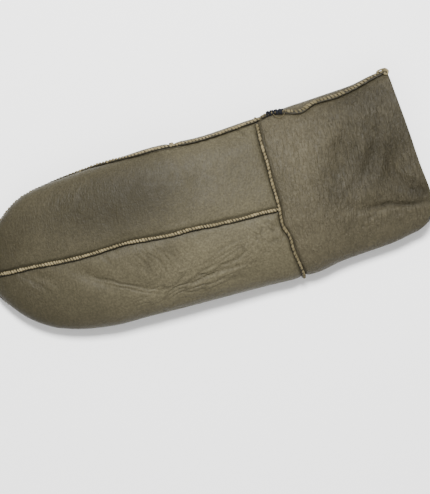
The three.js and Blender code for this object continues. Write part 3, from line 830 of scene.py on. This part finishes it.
# Palm rows between two lines across it, each a function of the column's turn. Gives the points and their
# turns.
def palmGrid(surface, rows, crowding, startAt, endAt):
    share = (evenly(rows) ** crowding)[:, None]
    turns = (seamTurn["little"], 360 + seamTurn["thumb"])
    ends = [np.array([[float(turn)]]) for turn in turns]
    littleX, thumbX = (lerp(startAt(turn), endAt(turn), share) for turn in ends)
    turn = turnOf(palmAngles(surface, littleX, thumbX))
    return surface(lerp(startAt(turn), endAt(turn), share), turn), turn


# Height of the palm's underside over x and y, where the section's angle is
# 360 - arccos((y - middle) / half)
def undersideHeight(surface, x, y):
    middle, half = middleAndHalf(sidesFrom(hand, handShare(x), halfHand))
    across = np.clip((y - middle) / half, -1, 1)
    return surface(x, turnOf(360 - np.degrees(np.arccos(across))))[..., 2]


# One side of the thumb: from its base towards the outline, below the palm's underside by a gap, with z
# curling to the rim along a quarter circle over the distance from the outline
def thumbGrid(base, turn, surface, gap, rimShift, rows):
    rimRadius = size["thumbThickness"] / 2 - halfGap
    share = (1 - (1 - evenly(rows)) ** rowCrowding["thumb"])[:, None, None]
    target = outlinePoint((turn - innerBaseTurn) / (outerBaseTurn - innerBaseTurn))[None]
    grid = lerp(base[None], target, share)
    outline = outlinePoint(evenly(300))
    apart, reached = pathDistance(grid.reshape(-1, 3) * [1, 1, 0], outline * [1, 1, 0])
    rim = np.interp(reached, runAlong(outline[:, :2]), outline[:, 2]).reshape(grid.shape[:2]) + rimShift
    distance = np.hypot(apart.reshape(grid.shape[:2]), grid[..., 2] - target[..., 2])
    curl = 1 - np.sqrt(np.maximum(1 - (1 - np.minimum(distance / rimRadius, 1)) ** 2, 0))
    level = undersideHeight(surface, grid[..., 0], grid[..., 1]) - gap
    grid[..., 2] = lerp(level, rim, curl)
    grid[0] = base
    return grid


# Lines that the palm's grids start and end at, half a gap on one side of the seam there
def besideSeam(line, surface, side):
    return lambda turn: lineX(line, surface, turn) + side * halfGap


foldShape = {"rows": 10, "narrowFrom": 0.7, "narrowBy": 0.8, "step": 1}


# Palm's middle: the palm itself, the fold at the crotch as half a circle, and the thumb's back. The fold
# narrows towards the thumb's outer base.
def palmMiddleGrids():
    start = besideSeam(slantLine, backPoint, 1)
    end = besideSeam(crotchLine, backPoint, -1)
    palm, turns = palmGrid(backPoint, meshRows["middle"], 1, start, end)
    first = palmColumns["beside"] + palmColumns["unfolded"]
    last = palmColumns["beside"] + palmColumns["thumb"]
    lip, lipTurn = palm[-1, first : last + 1], turns[-1, first : last + 1]
    bend = np.radians(np.linspace(0, 180, foldShape["rows"]))[:, None, None]
    narrowing = smooth(foldShape["narrowFrom"], 1, np.linspace(0, 1, len(lip)))
    gap = size["foldGap"] * (1 - foldShape["narrowBy"] * narrowing)
    below = outward(backPoint, end(lipTurn), lipTurn, foldShape["step"])
    shift = np.sin(bend) * [1, 0, 0] + (1 - np.cos(bend)) * below
    fold = lip[None] + shift * gap[:, None] / 2
    fold[0] = lip
    back = thumbGrid(fold[-1], lipTurn, backPoint, gap, halfGap, thumbRows["back"])
    return [palm, fold, back]


def palmHeelGrids():
    start = besideSeam(crotchLine, heelPoint, 1)
    palm, turns = palmGrid(heelPoint, meshRows["heel"], 1, start, lambda turn: 0 * turn + wristEdge)
    columns = slice(palmColumns["beside"], palmColumns["beside"] + palmColumns["thumb"] + 1)
    base, turn = palm[0, columns], turns[0, columns]
    return [palm, thumbGrid(base, turn, heelPoint, 0, -halfGap, thumbRows["front"])[::-1]]


def palmFingersGrid():
    end = besideSeam(slantLine, backPoint, -1)
    rows, crowding = meshRows["fingers"], rowCrowding["fingers"]
    return palmGrid(backPoint, rows, crowding, lambda turn: 0 * turn + noseX, end)[0]


# Cuff: rows from the wrist to the mouth, columns once round from the side seam back to it
def cuffGrid():
    firstShare = halfGap / cuffLength
    share = lerp(firstShare, 1, evenly(meshRows["cuff"]))[:, None]
    first = angleOf(cuffSeam(share))
    gap = gapAngle(cuffPoint, share, first)
    angle = lerp(first + gap, first + 360 - gap, evenly(meshColumns["cuff"])[None, :])
    return cuffPoint(share, turnOf(angle))


# A socket's value, so that shader maths reads as an expression: each operator adds its Math node
class Value:
    def __init__(self, paint, socket):
        self.paint = paint
        self.socket = socket

    def math(self, operation, first, second):
        return self.paint.node("ShaderNodeMath", {"operation": operation}, {0: first, 1: second})

    def __add__(self, other):
        return self.math("ADD", self, other)

    def __radd__(self, other):
        return self.math("ADD", other, self)

    def __sub__(self, other):
        return self.math("SUBTRACT", self, other)

    def __rsub__(self, other):
        return self.math("SUBTRACT", other, self)

    def __mul__(self, other):
        return self.math("MULTIPLY", self, other)

    def __rmul__(self, other):
        return self.math("MULTIPLY", other, self)


# A material's nodes: node() adds one with its settings, then fills its sockets with numbers or other values
class Paint:
    def __init__(self, name):
        self.material = bpy.data.materials.new(name)
        self.material.use_nodes = True
        self.nodes = self.material.node_tree.nodes
        self.links = self.material.node_tree.links
        self.shader = self.nodes["Principled BSDF"]

    def node(self, kind, settings=None, inputs=None, output=0):
        made = self.nodes.new(kind)
        for key, value in (settings or {}).items():
            setattr(made, key, value)
        for key, value in (inputs or {}).items():
            self.fill(made.inputs[key], value)
        return Value(self, made.outputs[output])

    def fill(self, socket, value):
        if isinstance(value, Value):
            self.links.new(value.socket, socket)
        else:
            socket.default_value = value

    def finish(self, **inputs):
        for key, value in inputs.items():
            self.fill(self.shader.inputs[key.replace("_", " ")], value)
        return self.material

    def place(self):
        return self.node("ShaderNodeTexCoord", output="Object")

    def mark(self, name):
        return self.node("ShaderNodeAttribute", {"attribute_name": name}, output="Fac")

    # Noise from 0 to 1 whose features are about one cell, in millimetres
    def noise(self, place, cell, detail=2, rough=0.5, bent=0.0):
        inputs = {"Vector": place, "Scale": 1000 / cell, "Detail": detail}
        inputs |= {"Roughness": rough, "Distortion": bent}
        return self.node("ShaderNodeTexNoise", {}, inputs)

    # Place turned about z, so that x runs along a direction in degrees, then shortened along x by a factor
    def stretched(self, place, turn, factor):
        inputs = {"Vector": place, "Rotation": (0, 0, math.radians(turn)), "Scale": (factor, 1, 1)}
        return self.node("ShaderNodeMapping", {"vector_type": "TEXTURE"}, inputs)

    def step(self, value, low, high, start=0.0, end=1.0):
        return self.node(
            "ShaderNodeMapRange",
            {"interpolation_type": "SMOOTHSTEP"},
            {"Value": value, "From Min": low, "From Max": high, "To Min": start, "To Max": end},
        )

    def mix(self, share, first, second):
        return self.node("ShaderNodeMix", {"data_type": "RGBA"}, {0: share, 6: first, 7: second}, output=2)

    def bump(self, height, depth):
        inputs = {"Strength": 1.0, "Distance": depth / 1000, "Height": height}
        return self.node("ShaderNodeBump", {}, inputs)


# Patterns of the skin: their sizes in millimetres, then what each adds to the tone and to the relief
skinCell = {"cloud": 50, "mottle": 7, "fine": 1.6, "hair": 1.9, "pebble": 1.3}
skinTone = {"cloud": 0.7, "mottle": 0.3}
skinHeight = {"pebble": 0.25, "fine": 0.4, "wrinkledHair": 0.7}
hairStretch = 3.2


# Skin side: from a dark to a light olive by the patches' painted light and shade and a soft cloud, with
# painted shade in creases and wrinkles, painted shade and grime beside the seams, a fine pebbled grain, and
# hair-thin lines along the hide that deepen where it is wrinkled. The hair lines also make the colour
# darker along their valleys and lighter along their ridges.
def leatherSkin(name, spec):
    paint = Paint(name)
    place = paint.place()
    crease, wrinkled, seamShadeNear = paint.mark("crease"), paint.mark("wrinkled"), paint.mark("seamShadeNear")
    cloud = paint.noise(place, skinCell["cloud"], 3, 0.5) - 0.5
    mottle = paint.noise(place, skinCell["mottle"], 4, 0.6)
    fine = paint.noise(place, skinCell["fine"], 3, 0.65)
    alongHair = paint.stretched(place, spec["hairTurn"], hairStretch)
    hair = paint.noise(alongHair, skinCell["hair"], 2, 0.5, 1.2)
    # The tone mark makes the skin lighter and darker as painted light and shade, and darkens the ridge
    # cores as painted shade
    level = paint.mark("tone") + cloud * skinTone["cloud"] + (mottle - 0.5) * skinTone["mottle"]
    level = level + (hair - 0.5) * spec["hairTone"]
    color = paint.mix(paint.step(level, -1.0, 1.0), spec["dark"], spec["light"])
    color = paint.mix(paint.step(fine, 0.35, 0.7, spec["grainShade"], 0.0), color, spec["deep"])
    # Painted shade in the creases and wrinkles, and painted shade with some grime beside the seams
    shade = crease * spec["creaseShade"] + seamShadeNear * spec["seamShade"]
    color = paint.mix(shade, color, spec["deep"])
    pebble = paint.node(
        "ShaderNodeTexVoronoi",
        {"feature": "SMOOTH_F1"},
        {"Vector": place, "Scale": 1000 / skinCell["pebble"], "Smoothness": 0.6},
    )
    height = pebble * skinHeight["pebble"] + fine * skinHeight["fine"]
    height = height + hair * (wrinkled * skinHeight["wrinkledHair"] + spec["hairDepth"])
    rough = paint.step(mottle, 0.3, 0.7, spec["rough"] - 0.06, spec["rough"] + 0.06) + crease * 0.1
    bump = paint.bump(height, spec["grain"])
    return paint.finish(Base_Color=color, Roughness=rough, Normal=bump, Specular_IOR_Level=spec["shine"])


handLeather = {
    "dark": (0.0235, 0.02, 0.0103, 1),
    "light": (0.096, 0.0842, 0.0505, 1),
    "deep": (0.009, 0.0075, 0.004, 1),
    "creaseShade": 0.75,
    "seamShade": 0.5,
    "grainShade": 0.36,
    "hairTurn": 80,
    "hairTone": 0.35,
    "hairDepth": 1.0,
    "rough": 0.58,
    "grain": 0.34,
    "shine": 0.13,
}
cuffLeather = handLeather | {
    "dark": (0.016, 0.0135, 0.007, 1),
    "light": (0.08, 0.069, 0.042, 1),
    "creaseShade": 0.6,
    "grainShade": 0.24,
    "hairTurn": 84,
    "hairTone": 1.0,
    "hairDepth": 2.2,
    "grain": 0.42,
}
# Ridge cores: a much darker leather, painted shade along the seams' ridges
ridgeShadeTone = {"dark": (0.014, 0.012, 0.007, 1), "light": (0.03, 0.026, 0.016, 1)}
suede = {
    "dark": (0.13, 0.12, 0.1, 1),
    "light": (0.2, 0.185, 0.155, 1),
    "deep": (0.07, 0.062, 0.05, 1),
    "cloudCell": 14,
    "fibreCell": 0.9,
    "bump": 0.35,
}
hideCore = {
    "dark": (0.045, 0.038, 0.024, 1),
    "light": (0.1, 0.086, 0.058, 1),
    "fibreCell": 0.7,
    "bump": 0.25,
}
threadCell = {"stitch": 4, "fibre": 0.5}
khaki = {"dark": (0.06, 0.05, 0.026, 1), "light": (0.205, 0.168, 0.092, 1)}
navy = {"dark": (0.005, 0.0055, 0.008, 1), "light": (0.014, 0.016, 0.023, 1)}


# Napped side: soft greyish suede, with a brushed nap
def nap(name, spec):
    paint = Paint(name)
    place = paint.place()
    cloud = paint.noise(place, spec["cloudCell"], 4, 0.6)
    fibre = paint.noise(place, spec["fibreCell"], 3, 0.7)
    color = paint.mix(paint.step(cloud, 0.3, 0.7), spec["dark"], spec["light"])
    color = paint.mix(paint.step(fibre, 0.35, 0.7, 0.3, 0.0), color, spec["deep"])
    paint.finish(Specular_IOR_Level=0.2, Sheen_Weight=0.3, Sheen_Roughness=0.6)
    bump = paint.bump(fibre + cloud * 0.5, spec["bump"])
    return paint.finish(Base_Color=color, Roughness=0.95, Normal=bump)


# Cut edge: pale fibrous core of the hide
def cutEdge(name, spec):
    paint = Paint(name)
    fibre = paint.noise(paint.place(), spec["fibreCell"], 3, 0.7)
    color = paint.mix(paint.step(fibre, 0.3, 0.7), spec["dark"], spec["light"])
    return paint.finish(Base_Color=color, Roughness=0.9, Normal=paint.bump(fibre, spec["bump"]))


# Thread: strands from a dull to a bright tone by their own mark, lighter and darker from stitch to stitch
def thread(name, spec):
    paint = Paint(name)
    place = paint.place()
    level = paint.mark("bright") + paint.noise(place, threadCell["stitch"], 2) - 0.5
    color = paint.mix(paint.step(level, 0.0, 1.0), spec["dark"], spec["light"])
    fibre = paint.noise(place, threadCell["fibre"], 2)
    deep = tuple(0.45 * part for part in spec["dark"][:3]) + (1,)
    color = paint.mix(paint.step(fibre, 0.35, 0.65, 0.25, 0.0), color, deep)
    bump = paint.bump(fibre, 0.15)
    return paint.finish(Base_Color=color, Roughness=0.85, Normal=bump, Specular_IOR_Level=0.15)


handSkin = leatherSkin("handLeather", handLeather)
cuffSkin = leatherSkin("cuffLeather", cuffLeather)
napped = nap("nappedSide", suede)
edgeCore = cutEdge("cutEdge", hideCore)
ridgeShadedLeather = leatherSkin("ridgeShadedLeather", handLeather | ridgeShadeTone)
khakiThread = thread("khakiThread", khaki)
navyThread = thread("navyThread", navy)
print("materials ready")


def dress(made, node):
    if node:
        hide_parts(node)
    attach(made, "root")


panels = {
    "back_thumb_side": [backGrid(thumbSeam, middleTurn, "thumbHalf")],
    "back_little_side": [backGrid(middleTurn, littleSeam, "littleHalf")],
    "palm_fingers": [palmFingersGrid()],
    "palm_middle": palmMiddleGrids(),
    "palm_heel": palmHeelGrids(),
    "cuff": [cuffGrid()],
}
for node, grids in panels.items():
    skin, slotName = (cuffSkin, "cuff_leather") if node == "cuff" else (handSkin, "leather")
    dress(leatherPanel(node + "_leather", grids, [skin, napped, edgeCore]), node)
print("leather panels made")


# Tube: at each point of a path, a ring of two half sizes along two directions, with a flat fan at both ends
def tube(centre, first, second, firstHalf, secondHalf, sides):
    turn = 2 * np.pi * np.arange(sides) / sides
    rings = centre[:, None] + (
        first[:, None] * (np.cos(turn)[None, :, None] * firstHalf[:, None, None])
        + second[:, None] * (np.sin(turn)[None, :, None] * secondHalf[:, None, None])
    )
    count = len(centre)
    index = np.arange(count * sides).reshape(count, sides)
    index = np.concatenate([index, index[:, :1]], axis=1)
    fan = np.stack([np.zeros(sides - 2, int), np.arange(1, sides - 1), np.arange(2, sides)], -1)
    triangles = np.concatenate([gridTriangles(index), fan, fan[:, ::-1] + (count - 1) * sides])
    points = rings.reshape(-1, 3)
    a, b, c = (points[triangles[:, k]] for k in range(3))
    if (a * np.cross(b, c)).sum() < 0:
        triangles = triangles[:, ::-1]
    return points, triangles


def joinTubes(tubes):
    starts = np.cumsum([0] + [len(points) for points, _ in tubes[:-1]])
    triangles = [part + start for (_, part), start in zip(tubes, starts)]
    return np.concatenate([points for points, _ in tubes]), np.concatenate(triangles)


# How the strands stray from an even winding: amount, length of the waves in millimetres, shift in the noise
strays = {
    "path": (0.8, 18, 0.3),
    "coreGirth": (0.2, 3, 0),
    "coreEdge": (0.5, 5, 7),
    "slowPhase": (1.0, 9, 4),
    "fastPhase": (0.8, 3.1, 9),
    "girth": (0.3, 2.7, 2),
    "reach": (0.35, 4.2, 6),
    "height": (0.2, 3.3, 8),
    "mendPhase": (2.0, 3, 0.4),
    "mendReach": (0.45, 2.2, 3.1),
    "mendHeight": (0.15, 1.9, 6.2),
}


def stray(name, at, number):
    amount, cell, shift = strays[name]
    return amount * wavyNoise(at, cell, number + shift)


# Whipping of each seam: pitch, how far the strand reaches aside, how bright the thread is, and how far, and
# to which side, the dark core is shifted, so that it shows there as painted shade beside the ridge
stitch = {"thick": 0.55, "wide": 0.36, "steps": 12, "sides": 7, "hand": -1, "rise": 0.75, "height": 0.8}
# The core's tone darkens it further, as painted shade
core = {"spacing": 0.8, "past": 0.5, "height": 0.95, "below": 0.3, "sides": 10, "tone": -0.3}
whipping = records("seam pitch reach bright edge", [
    ["seam_back_middle", 2.25, 0.68, 0.62, 0.6],
    ["seam_edge", 2.6, 0.75, 0.5, -0.3],
    ["seam_wrist", 2.9, 0.55, 0.4, 0.4],
    ["seam_cuff_side", 2.75, 1.05, 0.3, 0.5],
    ["seam_palm_slant", 2.75, 0.75, 0.6, 0.4],
    ["seam_thumb", 2.75, 0.75, 0.6, 0.4],
])


# Points evenly along a seam's middle, which lies a little below its ridge's, with its direction, the one
# across it and the ridge's up direction
def alongSeam(seam, spacing):
    ridge, up = seam["ridge"] - seam["up"] * stitch["rise"], seam["up"]
    length = runAlong(ridge)
    at = np.linspace(0, length[-1], max(int(length[-1] / spacing), 8))
    place = np.stack([np.interp(at, length, ridge[:, k]) for k in range(3)], -1)
    lifted = np.stack([np.interp(at, length, up[:, k]) for k in range(3)], -1)
    along = unit(np.gradient(place, axis=0))
    side = unit(np.cross(along, lifted))
    return at, place, side, np.cross(side, along)


# Strand wound round a seam as a helix, centre = place + side * a * cos(phase) + up * b * sin(phase)
def woundStrand(place, side, lifted, a, b, phase, firstHalf, secondHalf):
    centre = place + side * (a * np.cos(phase))[:, None] + lifted * (b * np.sin(phase))[:, None]
    heading = unit(np.gradient(centre, axis=0))
    across = unit(np.cross(heading, unit(centre - place)))
    inward = unit(np.cross(across, heading))
    return tube(centre, inward, across, firstHalf, secondHalf, stitch["sides"])


# Whipped ridge: an oval core of the turned-up leather edges, dark and shifted to one side, where it shows
# as a painted shadow line, and a flattened strand wound round it, whose pitch and girth wander
def whippedRidge(spec, number):
    name, seam = spec["seam"] + "_stitches", seams[spec["seam"]]
    length = runAlong(seam["ridge"])[-1]
    at, place, side, lifted = alongSeam(seam, core["spacing"])
    place = place + side * stray("path", at, number)[:, None]
    ends = np.sqrt(np.clip(np.minimum(at, length - at) / 2.5, 0.05, 1))
    aside = (spec["edge"] * ends * (1 + stray("coreEdge", at, number)))[:, None]
    girth = (spec["reach"] + core["past"]) * ends * (1 + stray("coreGirth", at, number))
    middle = place + side * aside - lifted * core["below"]
    leather = tube(middle, side, lifted, girth, core["height"] * ends, core["sides"])
    at, place, side, lifted = alongSeam(seam, spec["pitch"] / stitch["steps"])
    place = place + side * stray("path", at, number)[:, None]
    phase = stitch["hand"] * 2 * np.pi * at / spec["pitch"]
    phase = phase + stray("slowPhase", at, number) + stray("fastPhase", at, number)
    swell = (1 + stray("girth", at, number)) * np.clip(np.minimum(at, length - at) / 2, 0.4, 1)
    a = spec["reach"] * (1 + stray("reach", at, number))
    b = stitch["height"] * (1 + stray("height", at, number))
    thick, wide = stitch["thick"] * swell, spec["pitch"] * stitch["wide"] * swell
    strand = woundStrand(place, side, lifted, a, b, phase, thick, wide)
    points, triangles = joinTubes([leather, strand])
    slots = np.repeat([0, 1], [len(leather[1]), len(strand[1])])
    bright = np.full(len(points), spec["bright"]) + 0.12 * valueNoise(points, 30, number)
    marks = {"bright": bright, "tone": 0 * bright + core["tone"]}
    return solidObject(name, points, triangles, slots, [ridgeShadedLeather, khakiThread], marks)


for number, spec in enumerate(whipping):
    dress(whippedRidge(spec, number), spec["seam"])
print("whipped seams made")

mending = {"from": 5.5, "to": 19, "pitch": 3.0, "radius": 0.72, "spread": 1.7, "height": 1.75, "step": 0.15}


# Mended place on the cuff's side seam: two dark strands wound tightly and unevenly, crossing each other
def mendingThread():
    whole = alongSeam(seams["seam_cuff_side"], mending["step"])
    kept = (whole[0] >= mending["from"]) & (whole[0] <= mending["to"])
    at, place, side, lifted = (values[kept] for values in whole)
    radius = 0 * at + mending["radius"]
    strands = []
    for number, way in enumerate((1, -1)):
        phase = way * 2 * np.pi * at / mending["pitch"] + stray("mendPhase", at, number)
        a = mending["spread"] * (1 + stray("mendReach", at, number))
        b = mending["height"] * (1 + stray("mendHeight", at, number))
        strands.append(woundStrand(place, side, lifted, a, b, phase, radius, radius))
    points, triangles = joinTubes(strands)
    return solidObject("mending_thread", points, triangles, np.zeros(len(triangles)), [navyThread])


# Point on the cuff's upper surface over x and y, and the outward direction there
def cuffTop(x, y):
    along = (x - handLength) / cuffLength
    turn = topTurn(sidesFrom(cuff, along, lerp(halfHand, halfCuff, along)), y)
    share = along / sample(mouth, "reach", turn)
    return cuffPoint(share, turn), outward(cuffPoint, share, turn, cuffStep)


# Slack thread on the cuff: a flat loop below the mended place, and the frayed end of the side seam at the
# mouth, each a path in x and y with its height over the cuff, its girth and how bright it is
slackThreads = {
    "loose_loop": {
        "x": [239.8, 240.6, 242.6, 245.0, 247.0, 248.0],
        "y": [61.6, 59.4, 57.8, 57.6, 58.4, 60.2],
        "height": 0.3,
        "radius": 0.34,
        "bright": 0.05,
    },
    "frayed_end": {
        "x": [323.5, 326.5, 329.5, 331.4, 331.6, 330.2, 328.6],
        "y": [70.6, 71.6, 71.8, 70.6, 68.6, 67.4, 68.4],
        "height": 1.0,
        "radius": 0.85,
        "bright": 0.6,
    },
}


def slackThread(name, spec):
    knots = np.arange(len(spec["x"]))
    rows = {"at": knots, "x": np.array(spec["x"]), "y": np.array(spec["y"])}
    share = knots[-1] * evenly(48)
    surface, up = cuffTop(sample(rows, "x", share), sample(rows, "y", share))
    centre = surface + up * (spec["height"] + 0.25 * wavyNoise(share, 0.8, spec["radius"]))[:, None]
    heading = unit(np.gradient(centre, axis=0))
    across = unit(np.cross(heading, up))
    radius = spec["radius"] * (1 + 0.25 * wavyNoise(share, 0.4, 5.0))
    inward = unit(np.cross(across, heading))
    points, triangles = tube(centre, across, inward, radius, radius, stitch["sides"])
    marks = {"bright": np.full(len(points), spec["bright"])}
    return solidObject(name, points, triangles, np.zeros(len(triangles)), [khakiThread], marks)


dress(mendingThread(), None)
for name, spec in slackThreads.items():
    dress(slackThread(name, spec), None)
print("mending thread made")

# Studio: a pale floor, a broad soft light from the picture's upper side and a pale sky
studio = {
    "floorHalf": 3.0,
    "floorZ": -0.0003,
    "floorColor": (0.93, 0.93, 0.925, 1),
    "floorRough": 0.7,
    "skyColor": (1, 1, 1, 1),
    "skyStrength": 0.65,
}
half, floorZ = studio["floorHalf"], studio["floorZ"]
corners = [(-half, -half, floorZ), (half, -half, floorZ), (half, half, floorZ), (-half, half, floorZ)]
floorMesh = bpy.data.meshes.new("floor")
floorMesh.from_pydata(corners, [], [(0, 1, 2, 3)])
palePaint = Paint("paleFloor").finish(Base_Color=studio["floorColor"], Roughness=studio["floorRough"])
floorMesh.materials.append(palePaint)
floor = bpy.data.objects.new("floor", floorMesh)
bpy.context.scene.collection.objects.link(floor)

sky = bpy.data.worlds.new("sky")
sky.use_nodes = True
skyInputs = sky.node_tree.nodes["Background"].inputs
skyInputs["Color"].default_value = studio["skyColor"]
skyInputs["Strength"].default_value = studio["skyStrength"]
bpy.context.scene.world = sky

# The picture's upper side lies along pictureUp, and each light stands so far towards it
pictureTurn = math.radians(-15.5)
pictureUp = (-math.sin(pictureTurn), math.cos(pictureTurn))
lamps = {
    "keyLight": {"towards": 0.55, "height": 1.25, "size": 0.35, "power": 54},
    "fillLight": {"towards": -0.9, "height": 1.2, "size": 1.2, "power": 7},
}
for name, spec in lamps.items():
    lamp = bpy.data.lights.new(name, "AREA")
    lamp.size, lamp.energy = spec["size"], spec["power"]
    holder = bpy.data.objects.new(name, lamp)
    holder.location = (pictureUp[0] * spec["towards"], pictureUp[1] * spec["towards"], spec["height"])
    holder.rotation_euler = (-math.atan2(spec["towards"], spec["height"]), 0, pictureTurn)
    bpy.context.scene.collection.objects.link(holder)

# Camera straight above, at the photo's framing: the picture's long side takes in 371.5 mm at mid height
view = {"x": 0.00344, "y": -0.02721, "subjectHeight": 0.025, "distance": 2.0, "span": 0.3715, "sensor": 36}
camera = bpy.data.objects.new("camera", bpy.data.cameras.new("camera"))
camera.data.sensor_width = view["sensor"]
camera.data.lens = view["sensor"] * view["distance"] / view["span"]
camera.location = (view["x"], view["y"], view["subjectHeight"] + view["distance"])
camera.rotation_euler = (0, 0, pictureTurn)
bpy.context.scene.collection.objects.link(camera)
bpy.context.scene.camera = camera
print("studio ready")
